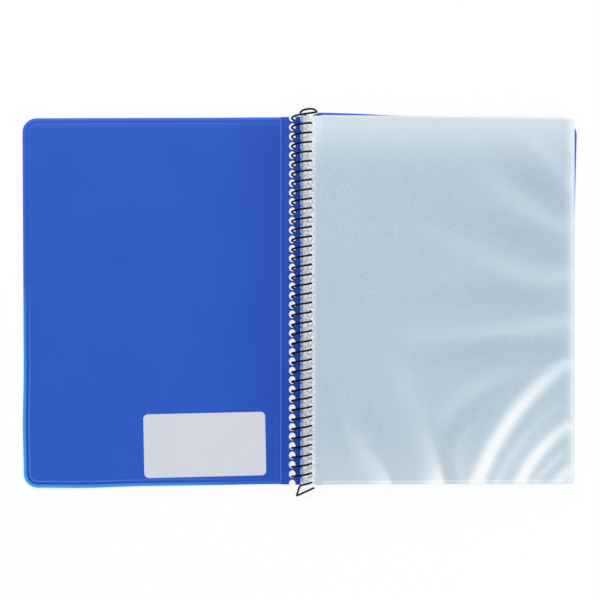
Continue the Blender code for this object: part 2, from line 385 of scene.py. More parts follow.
def vinyl_finish():
    """Satin blue vinyl with a fine pressed grain, and a painted sheen where the rim is welded thin."""
    finish = Finish("satin blue vinyl", Specular_IOR_Level=0.28)
    cloud = finish.noise(28.0, 4.0)
    fleck = finish.noise(900.0, 2.0)
    grain = finish.cells(1500.0)
    scuff = finish.between(finish.noise(70.0, 6.0, 0.7, (1.0, 0.12, 1.0)), 0.58, 0.74)
    edge = finish.attribute("edge")
    rim = 1 - finish.between(edge, 1.2, 1.9)
    weld = finish.line(edge, 2.15, 0.6)
    curled = finish.attribute("curl")
    shade = finish.mixed(cloud, (0.007, 0.076, 0.485), (0.014, 0.098, 0.560))
    shade = finish.mixed(fleck * 0.15, shade, (0.035, 0.145, 0.65))
    # A painted sheen: the rim is coloured lighter and bluer.
    shade = finish.mixed(rim * 0.6, shade, (0.026, 0.150, 0.760))
    # A painted highlight on the rim of the curled corner.
    shade = finish.mixed(curled * rim, shade, (0.050, 0.320, 0.880))
    # Painted shade in the weld groove, deeper towards the curled corner.
    shade = finish.mixed(weld * (0.25 + curled * 0.55), shade, (0.008, 0.035, 0.300))
    # A painted highlight on the panel's rounded inner shoulder, brightest towards the curled corner.
    shoulder_highlight = finish.line(edge, 3.3, 0.7) * (0.15 + curled * 0.6)
    shade = finish.mixed(shoulder_highlight, shade, (0.070, 0.230, 0.850))
    # A painted highlight along the outer edge, brightest on the curled corner.
    lip = (1 - finish.between(edge, 0.2, 0.9)) * (0.1 + curled * 0.7)
    shade = finish.mixed(lip, shade, (0.070, 0.380, 0.930))
    rim_free = finish.between(edge, 2.0, 2.9)
    from_wire = finish.attribute("reach")
    # Painted shade: the panel is coloured darker towards the coil.
    shaded = (1 - finish.between(from_wire, 12.0, 55.0)) * rim_free * 0.4
    shade = finish.mixed(shaded, shade, (0.006, 0.046, 0.430))
    # Painted shade over the tilted binding strip.
    strip = 1 - finish.between(from_wire, 9.8, 10.4)
    shade = finish.mixed(strip * 0.3, shade, (0.006, 0.066, 0.560))
    # Painted shade under the coil, on the inner part of the strip.
    inner = 1 - finish.between(from_wire, 4.6, 6.6)
    shade = finish.mixed(inner * 0.4, shade, (0.003, 0.018, 0.240))
    across = finish.axis(0)
    # Painted shade along the front strip's inner cut edge.
    cut_edge_shade = finish.line(across, -1.3 * MM, 0.9 * MM)
    shade = finish.mixed(cut_edge_shade * 0.7, shade, (0.002, 0.015, 0.190))
    # A painted highlight along the back strip's inner edge, in the slit under the coil's axis.
    wear_and_highlight = finish.line(across, 0.1 * MM, 1.0 * MM)
    shade = finish.mixed(wear_and_highlight * 0.85, shade, (0.400, 0.620, 0.950))
    # Painted shade in the groove beside the weld bead along the strip.
    groove_shade = finish.line(from_wire, 10.0, 0.6)
    shade = finish.mixed(groove_shade * 0.5, shade, (0.004, 0.025, 0.300))
    # A painted highlight on the weld bead along the strip.
    bead_highlight = finish.line(from_wire, 10.85, 0.5)
    shade = finish.mixed(bead_highlight * 0.8, shade, (0.065, 0.200, 0.820))
    rough = 0.40 + cloud * 0.10 + scuff * 0.12 - rim * 0.08
    height = grain * 0.7 + fleck * 0.5
    normal = finish.bump(height, 0.22, 0.05 * MM)
    return finish.wear(Base_Color=shade, Roughness=rough, Normal=normal)


def film_finish(name, haze, strip=False):
    """Clear matt film: faintly stippled and milky in its welded seams, with painted highlight and
    shade along its folds.
    """
    finish = Finish(name, Specular_IOR_Level=0.5, IOR=1.46)
    cloud = finish.noise(22.0, 3.0)
    stipple = finish.noise(1400.0, 2.0, 0.6)
    up_page = finish.axis(1)
    mouth = finish.between(up_page, 66 * MM, 98 * MM)
    foot = 1 - finish.between(up_page, -98 * MM, -60 * MM)
    if strip:
        shade = finish.mixed(cloud, (0.56, 0.68, 0.76), (0.595, 0.715, 0.795))
        near_wire = 1 - finish.between(finish.axis(0), 5.0 * MM, 8.0 * MM)
        seam = finish.between(finish.noise(850.0, 2.0, 0.5), 0.38, 0.62) * near_wire
        milk_and_highlight = seam * 0.8 + near_wire * 0.26 + foot * 0.15
        clear = haze + seam * 0.3
    else:
        shade = finish.mixed(cloud, (0.59, 0.715, 0.81), (0.63, 0.755, 0.845))
        dust = finish.between(finish.noise(420.0, 3.0), 0.60, 0.72)
        edge = finish.attribute("edge")
        # The fold mark is a painted highlight where positive, for the lamps' reflections on the folds,
        # and painted shade where negative, in the valleys between them.
        fold = finish.attribute("fold")
        light = finish.node("ShaderNodeClamp", values={"Value": fold})
        valley_shade = finish.node("ShaderNodeClamp", values={"Value": fold * -1})
        seam = finish.line(edge, 1.6, 0.7)
        hem = 1 - finish.between(finish.attribute("fore"), 0.4, 6.5)
        sole = 1 - finish.between(edge, 0.4, 2.4)
        lip = 1 - finish.between(finish.attribute("mouth"), 0.5, 1.6)
        # Whiter in the welded seams, along the edges and in the lower band, plus the folds' painted
        # highlight.
        milk_and_highlight = seam * 0.2 + light + hem * 0.42 + sole * 0.2 + lip * 0.6 + foot * 0.22
        clear = haze + seam * 0.12 + hem * 0.08 + light * 0.5 + dust * 0.02
        # Painted shade in the valleys between the folds.
        shade = finish.mixed(valley_shade, shade, (0.46, 0.57, 0.66))
    shade = finish.mixed(mouth * 0.7, shade, (0.86, 0.95, 1.0))
    milk_and_highlight = finish.node("ShaderNodeClamp", values={"Value": milk_and_highlight})
    shade = finish.mixed(milk_and_highlight, shade, (0.93, 0.96, 0.98))
    rough = 0.34 + stipple * 0.12 - seam * 0.06
    height = stipple * 0.6 + seam * 0.8
    normal = finish.bump(height, 0.08, 0.04 * MM)
    return finish.wear(Base_Color=shade, Alpha=clear, Roughness=rough, Normal=normal)


def wire_finish():
    """Steel wire under black plastic, with a faint drawn streak and dulled spots."""
    finish = Finish("black coated wire", Specular_IOR_Level=0.12)
    streak = finish.noise(500.0, 3.0, 0.6, (1.0, 0.25, 1.0))
    dull = finish.between(finish.noise(180.0, 4.0), 0.52, 0.7)
    shade = finish.mixed(dull * 0.6, (0.002, 0.002, 0.003), (0.010, 0.010, 0.011))
    rough = 0.28 + streak * 0.14 + dull * 0.16
    normal = finish.bump(streak, 0.1, 0.02 * MM)
    return finish.wear(Base_Color=shade, Roughness=rough, Normal=normal)


def paper_finish():
    """Coated label paper with a trace of fibres, slightly cool."""
    finish = Finish("label paper", Specular_IOR_Level=0.4)
    fibre = finish.noise(1600.0, 4.0, 0.7, (1.0, 0.35, 1.0))
    cloud = finish.noise(45.0, 3.0)
    edge = finish.attribute("edge")
    wear_and_highlight = 1 - finish.between(edge, 0.15, 0.9)
    shade = finish.mixed(cloud, (0.60, 0.62, 0.71), (0.68, 0.70, 0.77))
    shade = finish.mixed(fibre * 0.25, shade, (0.74, 0.75, 0.79))
    shade = finish.mixed(wear_and_highlight * 0.35, shade, (0.52, 0.58, 0.76))
    rough = 0.50 + fibre * 0.16
    normal = finish.bump(fibre, 0.12, 0.03 * MM)
    return finish.wear(Base_Color=shade, Roughness=rough, Normal=normal)


def board_finish():
    """Grey board inside the covers, flecked with darker fibres."""
    finish = Finish("grey board", Specular_IOR_Level=0.25)
    fibre = finish.noise(900.0, 5.0, 0.7, (1.0, 0.3, 1.0))
    fleck = finish.between(finish.noise(500.0, 2.0), 0.64, 0.72)
    shade = finish.mixed(fibre, (0.34, 0.31, 0.27), (0.46, 0.43, 0.38))
    shade = finish.mixed(fleck * 0.6, shade, (0.20, 0.18, 0.15))
    rough = 0.82 + fibre * 0.12
    normal = finish.bump(fibre, 0.3, 0.05 * MM)
    return finish.wear(Base_Color=shade, Roughness=rough, Normal=normal)


def floor_finish():
    """A pale floor that the camera, gloss and clear film see as white, with its shadow kept."""
    finish = Finish("pale floor", Roughness=0.9, Specular_IOR_Level=0.0)
    seen = finish.node("ShaderNodeLightPath", output="Is Camera Ray")
    mirrored = finish.node("ShaderNodeLightPath", output="Is Glossy Ray")
    through = finish.node("ShaderNodeLightPath", output="Is Transmission Ray")
    shown = finish.node("ShaderNodeClamp", values={"Value": seen + mirrored + through})
    grain = finish.noise(40.0, 2.0)
    pale = finish.mixed(grain, (0.80, 0.80, 0.80), (0.82, 0.82, 0.82))
    finish.wear(Base_Color=finish.mixed(shown, pale, (1.0, 1.0, 1.0)))
    lit = Link(finish, finish.shader.outputs[0])
    white = finish.node("ShaderNodeEmission", values={"Color": (1.0, 1.0, 1.0), "Strength": 1.0})
    both = finish.node("ShaderNodeMixShader", values={0: shown * FLOOR_WHITENESS, 1: lit, 2: white})
    finish.fill(finish.tree.nodes["Material Output"].inputs["Surface"], both)
    return finish.material


# Meshes

def placed(reach, along, rise):
    """A point given about the coil's axis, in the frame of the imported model."""
    return (reach, along + BINDING_MIDDLE_Y, rise + AXIS_HEIGHT)


def linked(name, mesh):
    piece = bpy.data.objects.new(name, mesh)
    bpy.context.scene.collection.objects.link(piece)
    return piece


def plain_mesh(piece):
    """Turns what the modifiers make of a piece into its own mesh, and takes them off."""
    graph = bpy.context.evaluated_depsgraph_get()
    mesh = bpy.data.meshes.new_from_object(piece.evaluated_get(graph), depsgraph=graph)
    spare = piece.data
    piece.modifiers.clear()
    piece.data = mesh
    bpy.data.meshes.remove(spare)
    return mesh


def closed_sheet(top, under):
    """Points and faces of a closed sheet between two grids of points of one shape."""
    rows, columns = top.shape[:2]
    count = rows * columns
    points = np.concatenate([top.reshape(-1, 3), under.reshape(-1, 3)])
    number = np.arange(count).reshape(rows, columns)
    around = [number[:-1, :-1], number[:-1, 1:], number[1:, 1:], number[1:, :-1]]
    upper = np.stack(around, -1).reshape(-1, 4)
    lower = upper[:, ::-1] + count
    rim = np.concatenate([number[0, :-1], number[:-1, -1], number[-1, :0:-1], number[:0:-1, 0]])
    onward = np.roll(rim, -1)
    wall = np.stack([onward, rim, rim + count, onward + count], -1)
    return points, np.concatenate([upper, lower, wall])


def sheet_mesh(name, sheets, material, **marks):
    """One mesh of closed sheets, with a float mark for each point, facing outwards."""
    points = []
    faces = []
    base = 0
    for top, under in sheets:
        sheet_points, sheet_faces = closed_sheet(top, under)
        points.append(sheet_points)
        faces.append(sheet_faces + base)
        base += len(sheet_points)
    mesh = bpy.data.meshes.new(name)
    mesh.from_pydata(np.concatenate(points).tolist(), [], np.concatenate(faces).tolist())
    for mark, values in marks.items():
        both = np.concatenate([np.concatenate([each.ravel(), each.ravel()]) for each in values])
        mesh.attributes.new(mark, "FLOAT", "POINT").data.foreach_set("value", both.astype(np.float32))
    outward(mesh)
    mesh.materials.append(material)
    return mesh


def outward(mesh, smooth_below=math.radians(40.0)):
    shape = bmesh.new()
    shape.from_mesh(mesh)
    bmesh.ops.recalc_face_normals(shape, faces=shape.faces)
    for face in shape.faces:
        face.smooth = True
    for edge in shape.edges:
        edge.smooth = len(edge.link_faces) == 2 and edge.calc_face_angle(0.0) < smooth_below
    shape.to_mesh(mesh)
    shape.free()


def even_steps(start, end, spacing):
    steps = max(1, round(abs(end - start) / spacing))
    return [start + (end - start) * step / steps for step in range(1, steps)]


def rounded_corner(from_fore, from_end, corner, zone):
    """Moves a point of a square corner's zone on to the rounded corner's own loops."""
    inset = min(from_fore, from_end)
    if max(from_fore, from_end) >= zone:
        return from_fore, from_end
    if from_end <= from_fore:
        share = 0.5 * (zone - from_fore) / (zone - inset)
    else:
        share = 1 - 0.5 * (zone - from_end) / (zone - inset)
    radius = max(corner - inset, 0.0)
    straight = zone - inset - radius
    bend = math.pi / 2 * radius
    walked = share * (2 * straight + bend)
    if walked <= straight:
        return zone - walked, inset
    if walked >= straight + bend:
        return inset, inset + radius + walked - straight - bend
    angle = (walked - straight) / radius
    return inset + radius * (1 - math.sin(angle)), inset + radius * (1 - math.cos(angle))


def page_plan(reaches, alongs, outer, half_height, corner, zone):
    """Plan points of a page's grid, with its two fore corners rounded."""
    plan = np.zeros((len(alongs), len(reaches), 2))
    for row, along in enumerate(alongs):
        sign = 1.0 if along >= 0 else -1.0
        for column, reach in enumerate(reaches):
            fore, end = rounded_corner(outer - reach, half_height - abs(along), corner, zone)
            plan[row, column] = outer - fore, sign * (half_height - end)
    return plan


def askew(reach, along, lie):
    """Where a page's point lies once the page has turned and slid a little in its own plane."""
    angle = lie.turn * (1 + lie.growth * along / (COVER_HEIGHT / 2))
    angle = angle * np.clip((reach - STRIP_OUTER) / TURN_RAMP, 0.0, 1.0)
    slid = np.clip((reach - HOLES_END) / SLIDE_RAMP, 0.0, 1.0)
    across = reach * np.cos(angle) - along * np.sin(angle) + lie.across * slid
    return across, reach * np.sin(angle) + along * np.cos(angle) + lie.along * slid


# Binding strips

def hole_place(inner, rise_in, outer, rise_out):
    """Where a sloping strip meets the wire: its reach and its rise."""
    slope = (rise_out - rise_in) / (outer - inner)
    at_axis = rise_in - slope * inner
    square = 1 + slope * slope
    half = slope * at_axis
    reach = (math.sqrt(half * half - square * (at_axis**2 - COIL_RADIUS**2)) - half) / square
    return reach, at_axis + slope * reach


def creep(reach, rise):
    """How far a leaf sits along the wire, which climbs as it goes round."""
    return -COIL_PITCH * math.atan2(rise, reach) / math.tau


def strip_outline(inner, outer, half_height, hole_reach, hole_width):
    """A strip's outline, notched at both ends by the hole that runs out through the edge."""
    notch_middle = (FULL_HOLES + 1) / 2 * COIL_PITCH
    lean = math.asin((half_height - notch_middle) / (HOLE_LENGTH / 2))
    notch = []
    for step in range(HOLE_POINTS // 2 + 1):
        angle = -lean + (math.pi + 2 * lean) * step / (HOLE_POINTS // 2)
        across = hole_reach - hole_width / 2 * math.cos(angle)
        notch.append((across, -notch_middle + HOLE_LENGTH / 2 * math.sin(angle)))
    lower = [(inner, -half_height), *notch, (outer, -half_height)]
    upper = [(across, -along) for across, along in reversed(lower)]
    return lower + upper


def geometry_sheet(name, inputs):
    """A Geometry Nodes tree with the named inputs, and the identifier of each."""
    tree = bpy.data.node_groups.new(name, "GeometryNodeTree")
    identifiers = {}
    for label, kind in inputs:
        socket = tree.interface.new_socket(label, in_out="INPUT", socket_type="NodeSocket" + kind)
        identifiers[label] = socket.identifier
    tree.interface.new_socket("Mesh", in_out="OUTPUT", socket_type="NodeSocketGeometry")
    sheet = NodeSheet(tree)
    source = tree.nodes.new("NodeGroupInput")
    given = {label: Link(sheet, source.outputs[label]) for label in identifiers}
    return sheet, given, identifiers


def ended(sheet, geometry, material):
    """Ends a tree in Realize Instances and Set Material."""
    real = sheet.node("GeometryNodeRealizeInstances", values={"Geometry": geometry})
    dressed = sheet.node("GeometryNodeSetMaterial", values={"Geometry": real, "Material": material})
    out = sheet.tree.nodes.new("NodeGroupOutput")
    sheet.fill(out.inputs["Mesh"], dressed)


def punching_tree():
    """Fills a strip's outline, less a row of oval holes."""
    inputs = [
        ("Outline", "Geometry"),
        ("First hole", "Vector"),
        ("Next hole", "Vector"),
        ("Holes", "Int"),
        ("Hole size", "Vector"),
        ("Hole points", "Int"),
        ("Finish", "Material"),
    ]
    sheet, given, identifiers = geometry_sheet("punched strip", inputs)
    outline = sheet.node("GeometryNodeMeshToCurve", values={"Mesh": given["Outline"]})
    row_values = {
        "Count": given["Holes"],
        "Start Location": given["First hole"],
        "Offset": given["Next hole"],
    }
    row = sheet.node("GeometryNodeMeshLine", {"mode": "OFFSET"}, row_values)
    ring_values = {"Resolution": given["Hole points"], "Radius": 0.5}
    ring = sheet.node("GeometryNodeCurvePrimitiveCircle", {"mode": "RADIUS"}, ring_values)
    hole_values = {"Points": row, "Instance": ring, "Scale": given["Hole size"]}
    holes = sheet.node("GeometryNodeInstanceOnPoints", values=hole_values)
    loops = sheet.node("GeometryNodeRealizeInstances", values={"Geometry": holes})
    joined = sheet.tree.nodes.new("GeometryNodeJoinGeometry")
    sheet.fill(joined.inputs[0], outline)
    sheet.fill(joined.inputs[0], loops)
    loops = Link(sheet, joined.outputs[0])
    filled = sheet.node("GeometryNodeFillCurve", {"mode": "TRIANGLES"}, {"Curve": loops})
    ended(sheet, filled, given["Finish"])
    return sheet.tree, identifiers


def punched_strip(name, punching, line, size, hole, lie, shift, material, side=1):
    """One strip along the coil. Line gives its inner reach and rise and its outer reach and rise,
    size its half height and thickness, and hole its holes' width and how far in they sit."""
    inner, rise_in, outer, rise_out = line
    half_height, thickness = size
    hole_width, inward = hole
    tree, identifiers = punching
    hole_reach = hole_place(*line)[0] - inward
    outline = strip_outline(inner, outer, half_height, hole_reach, hole_width)
    mesh = bpy.data.meshes.new(name)
    loop = [(number, (number + 1) % len(outline)) for number in range(len(outline))]
    mesh.from_pydata([(x, y, 0.0) for x, y in outline], loop, [])
    strip = linked(name, mesh)
    punch = strip.modifiers.new("punch", "NODES")
    punch.node_group = tree
    punch[identifiers["First hole"]] = (hole_reach, (FULL_HOLES - 1) / 2 * COIL_PITCH, 0.0)
    punch[identifiers["Next hole"]] = (0.0, -COIL_PITCH, 0.0)
    punch[identifiers["Holes"]] = FULL_HOLES
    punch[identifiers["Hole size"]] = (hole_width, HOLE_LENGTH, 1.0)
    punch[identifiers["Hole points"]] = HOLE_POINTS
    punch[identifiers["Finish"]] = material
    thick = strip.modifiers.new("thickness", "SOLIDIFY")
    thick.thickness = thickness
    thick.offset = 0.0
    mesh = plain_mesh(strip)
    from_wire = [vertex.co.x / MM for vertex in mesh.vertices]
    for vertex in mesh.vertices:
        reach, along, lift = vertex.co
        across, upward = askew(reach, along, lie)
        rise = rise_in + (rise_out - rise_in) * (max(reach, across) - inner) / (outer - inner)
        vertex.co = placed(side * across, upward + shift, rise + lift)
    edge = mesh.attributes.new("edge", "FLOAT", "POINT")
    edge.data.foreach_set("value", [NO_RIM_MARK] * len(mesh.vertices))
    mesh.attributes.new("reach", "FLOAT", "POINT").data.foreach_set("value", from_wire)
    outward(mesh, math.radians(30.0))
    return strip


# Covers

def section_at(distance, section, column):
    """A height of a cover's section, read at a distance in from its edge."""
    places = [row[0] * MM for row in section]
    heights = [row[column] * MM for row in section]
    return float(np.interp(distance, places, heights))


def curl_lift(reach, along, curl):
    """How far a cover's lower fore corner has curled up."""
    corner = np.hypot(COVER_REACH - reach, along + COVER_HEIGHT / 2)
    return curl * np.clip(1 - corner / CURL_REACH, 0.0, 1.0) ** 2


def cover_panel(name, side, shift, lie, curl, material):
    """A cover's two vinyl sheets, welded round the rim and along the strip, over the board."""
    half = COVER_HEIGHT / 2
    rim = [row[0] * MM for row in RIM_SECTION]
    weld = [STRIP_OUTER + row[0] * MM for row in WELD_SECTION]
    reaches = weld + even_steps(weld[-1], COVER_REACH - rim[-1], PANEL_SPACING)
    reaches += [COVER_REACH - inset for inset in reversed(rim)]
    lower = [-half + inset for inset in rim]
    upper = [-along for along in reversed(lower)]
    alongs = lower + even_steps(lower[-1], upper[0], PANEL_SPACING) + upper
    plan = page_plan(reaches, alongs, COVER_REACH, half, COVER_CORNER, CORNER_ZONE)
    top = np.zeros((len(alongs), len(reaches), 3))
    under = np.zeros_like(top)
    edge = np.zeros(top.shape[:2])
    curled = np.zeros(top.shape[:2])
    for row, flat_along in enumerate(alongs):
        for column, flat_reach in enumerate(reaches):
            inset = min(COVER_REACH - flat_reach, half - abs(flat_along))
            reach, along = plan[row, column]
            seam = flat_reach - STRIP_OUTER
            high = min(section_at(inset, RIM_SECTION, 1), section_at(seam, WELD_SECTION, 1))
            low = max(section_at(inset, RIM_SECTION, 2), section_at(seam, WELD_SECTION, 2))
            corner = math.hypot(COVER_REACH - reach, along + half)
            lift = curl_lift(reach, along, curl)
            if curl:
                out = EDGE_SWELL * math.exp(-(((corner - SWELL_PLACE) / SWELL_WIDTH) ** 2))
                reach += out * (reach / COVER_REACH) ** 8
                along -= out * (along / half) ** 8
            # How near a point is to the curled corner: it thins the groove there and sets how much
            # painted shine the rim, shoulder and outer edge carry.
            bent = max(0.0, 1 - corner / CURL_SHINE_REACH) ** 0.5 if curl else 0.0
            in_groove = math.exp(-(((inset - GROOVE_PLACE) / GROOVE_WIDTH) ** 2))
            high += (1 - bent) * GROOVE_FILL * in_groove
            low = min(low, high - LEAST_THICKNESS)
            wave = WAVE_HEIGHT * math.sin(reach / WAVE_ACROSS + 1.3) * math.sin(along / WAVE_ALONG)
            swell = min(1.0, inset / WAVE_MARGIN) * wave
            across, upward = askew(reach, along, lie)
            place = (side * across, upward + shift)
            top[row, column] = placed(*place, high + lift + swell - AXIS_HEIGHT)
            under[row, column] = placed(*place, low + lift - AXIS_HEIGHT)
            edge[row, column] = min(inset, seam + WELD_MARGIN) / MM
            curled[row, column] = bent
    marks = {"edge": [edge], "curl": [curled], "reach": [plan[..., 0] / MM]}
    return linked(name, sheet_mesh(name, [(top, under)], material, **marks))


def cover_board(name, side, shift, lie, curl, material):
    """The board between a cover's two sheets, lying askew and curled with them."""
    outer = COVER_REACH - BOARD_INSET
    half = COVER_HEIGHT / 2 - BOARD_INSET
    fine = [0.0, 0.8 * MM, 1.8 * MM, 3.0 * MM, 4.5 * MM, 6.5 * MM]
    fore = [outer - inset for inset in reversed(fine)]
    reaches = [BOARD_INNER, *even_steps(BOARD_INNER, fore[0], PANEL_SPACING), *fore]
    lower = [-half + inset for inset in fine]
    upper = [-along for along in reversed(lower)]
    alongs = lower + even_steps(lower[-1], upper[0], PANEL_SPACING) + upper
    plan = page_plan(reaches, alongs, outer, half, BOARD_CORNER, fine[-1])
    across, upward = askew(plan[..., 0], plan[..., 1], lie)
    top = np.stack(placed(side * across, upward + shift, 0 * across), -1)
    top[..., 2] = BOARD_LOW + BOARD_THICKNESS + curl_lift(plan[..., 0], plan[..., 1], curl)
    under = top - np.array([0.0, 0.0, BOARD_THICKNESS])
    return linked(name, sheet_mesh(name, [(top, under)], material))


def cover(name, body, side, inner, lie, curl, inward, punching, vinyl, card):
    """A cover's panel, board and binding strip."""
    slope = (STRIP_INNER_DROP - STRIP_OUTER_DROP) / (STRIP_OUTER - STRIP_INNER)
    line = []
    for reach in (inner, STRIP_OUTER + STRIP_TUCK):
        line += [reach, slope * (reach - STRIP_INNER) - STRIP_INNER_DROP]
    shift = side * creep(*hole_place(*line))
    panel = cover_panel(name + "_vinyl", side, shift, lie, curl, vinyl)
    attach(panel, body)
    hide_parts(name + "_skin", name + "_lining")
    board = cover_board(name + "_card", side, shift, lie, curl, card)
    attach(board, body)
    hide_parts(name + "_board")
    size = (COVER_HEIGHT / 2, STRIP_THICKNESS)
    hole = (HOLE_WIDTH, inward)
    strip_name = name + "_punched_strip"
    strip = punched_strip(strip_name, punching, line, size, hole, lie, shift, vinyl, side)
    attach(strip, body)
    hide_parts(name + "_binding_strip")


def label(material):
    """A paper label with round corners, stuck down flat and slightly askew."""
    width, height = LABEL_SIZE
    fine = [0.0, 0.1 * MM, 0.3 * MM, 0.7 * MM, 1.4 * MM, 2.2 * MM, 3.2 * MM]
    left = [-width / 2 + inset for inset in fine]
    right = [-across for across in reversed(left)]
    acrosses = left + even_steps(left[-1], right[0], LABEL_SPACING) + right
    lower = [-height / 2 + inset for inset in fine]
    upper = [-along for along in reversed(lower)]
    alongs = lower + even_steps(lower[-1], upper[0], LABEL_SPACING) + upper
    top = np.zeros((len(alongs), len(acrosses), 3))
    under = np.zeros_like(top)
    edge = np.zeros(top.shape[:2])
    for row, along in enumerate(alongs):
        for column, across in enumerate(acrosses):
            gaps = (width / 2 - abs(across), height / 2 - abs(along))
            side, end = rounded_corner(*gaps, LABEL_CORNER, fine[-1])
            x = math.copysign(width / 2 - side, across)
            y = math.copysign(height / 2 - end, along)
            place = (
                LABEL_MIDDLE[0] + x * math.cos(LABEL_TURN) - y * math.sin(LABEL_TURN),
                LABEL_MIDDLE[1] + x * math.sin(LABEL_TURN) + y * math.cos(LABEL_TURN),
            )
            inset = min(gaps)
            worn = LABEL_WEAR * max(0.0, 1 - inset / LABEL_WEAR_WIDTH)
            top[row, column] = placed(*place, LABEL_LOW + LABEL_THICKNESS - worn - AXIS_HEIGHT)
            under[row, column] = placed(*place, LABEL_LOW - AXIS_HEIGHT)
            edge[row, column] = inset / MM
    mesh = sheet_mesh("label_sticker", [(top, under)], material, edge=[edge])
    piece = linked("label_sticker", mesh)
    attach(piece, "front_cover")
    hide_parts("label")


# Pockets

def fold_paths():
    """Points along each fold, in metres, with its heading, widths and painted lightness at each point.
    """
    share = np.linspace(0.0, 1.0, FOLD_SAMPLES)
    ahead = share[:, None]
    paths = []
    for start, middle, end, widths, tones in FOLDS:
        places = [askew(point[0] * MM, point[1] * MM, FOLD_LIE) for point in (start, middle, end)]
        start, middle, end = np.array(places)
        bend = 2 * middle - (start + end) / 2
        points = (1 - ahead) ** 2 * start + 2 * ahead * (1 - ahead) * bend + ahead**2 * end
        heading = (1 - ahead) * (bend - start) + ahead * (end - bend)
        tone = np.interp(share, [0.0, 0.5, 1.0], tones)
        paths.append((points, heading, widths, tone))
    return paths


def folded(plan, paths):
    """How deep the film dips beside its folds, and their painted highlight and shade, at each plan
    point.
    """
    flat = plan.reshape(-1, 2)
    every = np.arange(len(flat))
    crest = np.zeros(len(flat))
    trough = np.zeros(len(flat))
    light = np.zeros(len(flat))
    valley_shade = np.zeros(len(flat))
    for points, heading, widths, tone in paths:
        gaps = flat[:, None, :] - points[None, :, :]
        apart = np.linalg.norm(gaps, axis=2)
        nearest = apart.argmin(axis=1)
        gap = gaps[every, nearest]
        way = heading[nearest]
        on_left = way[:, 0] * gap[:, 1] > way[:, 1] * gap[:, 0]
        away = apart[every, nearest] / (np.where(on_left, *widths) * MM)
        strength = tone[nearest]
        # A fold's tone is painted highlight where positive and painted shade where negative; it also
        # sets how deep the film dips.
        here = strength * np.exp(-(away**2))
        light = np.maximum(light, here)
        valley_shade = np.maximum(valley_shade, -here)
        crest = np.maximum(crest, here)
        trough = np.maximum(trough, strength * np.exp(-((away / FOLD_SPREAD) ** 2)))
    rise = np.minimum(crest, FOLD_LIMIT) - 0.5 * valley_shade
    dip = FOLD_DEPTH * (np.minimum(trough, FOLD_LIMIT) - rise)
    shape = plan.shape[:2]
    return dip.reshape(shape), (light - valley_shade).reshape(shape)


def pocket_lines():
    """Grid lines of a pocket: close together in its seams and where it is folded most."""
    half = POCKET_HEIGHT / 2
    seam = [0.0, 0.5 * MM, 1.1 * MM, 1.6 * MM, 2.1 * MM, 3.0 * MM, 4.5 * MM]
    fore = [POCKET_REACH - inset for inset in reversed(seam)]
    reaches = [POCKET_INNER, POCKET_INNER + 1.2 * MM, POCKET_INNER + 2.6 * MM]
    reaches += even_steps(reaches[-1], CREASED_REACH, SMOOTH_SPACING_ACROSS) + [CREASED_REACH]
    reaches += even_steps(CREASED_REACH, fore[0], CREASED_SPACING) + fore
    lower = [-half + inset for inset in seam]
    upper = [-along for along in reversed(lower)]
    alongs = lower + even_steps(lower[-1], CREASED_ALONG, CREASED_SPACING) + [CREASED_ALONG]
    alongs += even_steps(CREASED_ALONG, upper[0], SMOOTH_SPACING_ALONG) + upper
    return reaches, alongs


def sleeve(number, lines, paths, material):
    """A pocket: two films welded at three edges, dipping between their folds."""
    reaches, alongs = lines
    half = POCKET_HEIGHT / 2
    scatter = STACK_SCATTER * math.sin(number * 2.4)
    skew = STACK_SKEW * math.sin(number * 1.7 + 0.4)
    plan = page_plan(reaches, alongs, POCKET_REACH, half, POCKET_CORNER, POCKET_CORNER_ZONE)
    depth_share = (POCKETS + 1 - number) / POCKETS
    inset = np.minimum(POCKET_REACH - np.array(reaches)[None, :], half + np.array(alongs)[:, None])
    outward_share = (plan[..., 0] - POCKET_INNER) / (POCKET_REACH - POCKET_INNER)
    plan[..., 0] += scatter * outward_share
    plan[..., 1] -= np.sign(plan[..., 1]) * FORE_TRIM * outward_share * (np.abs(plan[..., 1]) / half)
    plan[..., 1] += plan[..., 0] * skew
    plan[..., 0], plan[..., 1] = askew(plan[..., 0], plan[..., 1], POCKET_LIE)
    dip, tone = folded(plan, paths)
    sink = FORE_SINK * outward_share**2
    level = -(dip + sink) * depth_share
    low = STACK_TOP - POCKET_STEP * number
    pressed = SEAM_PRESS * np.exp(-(((inset - SEAM_PLACE) / SEAM_WIDTH) ** 2))
    shift = creep(*hole_place(*leaf_line(number)))
    sheets = []
    for bottom, press in ((low, pressed), (low + FILM + POCKET_GAP, -pressed)):
        flat = np.stack([plan[..., 0], plan[..., 1] + shift + BINDING_MIDDLE_Y], -1)
        base = (level + bottom + press + AXIS_HEIGHT)[..., None]
        sheets.append((np.concatenate([flat, base + FILM], -1), np.concatenate([flat, base], -1)))
    # The top pocket alone carries the folds' painted highlight and shade.
    fold = tone if number == 1 else np.zeros_like(tone)
    edge = inset / MM
    mouth = np.broadcast_to((half - np.array(alongs)[:, None]) / MM, edge.shape)
    fore = np.broadcast_to((POCKET_REACH - np.array(reaches)[None, :]) / MM, edge.shape)
    marks = {"edge": edge, "fold": fold, "mouth": mouth, "fore": fore}
    name = f"pocket_{number:02d}_sleeve"
    both = {mark: [values, values] for mark, values in marks.items()}
    return linked(name, sheet_mesh(name, sheets, material, **both))


def leaf_line(number):
    """A pocket's binding strip along its middle: inner reach and rise, outer reach and rise."""
    inner_rise = EDGE_TOP - EDGE_STEP * number + (EDGE_STEP - EDGE_GAP) / 2
    outer_rise = STACK_TOP - POCKET_STEP * number + (POCKET_STEP - LEAF_GAP) / 2
    return LEAF_INNER, inner_rise, LEAF_OUTER, outer_rise


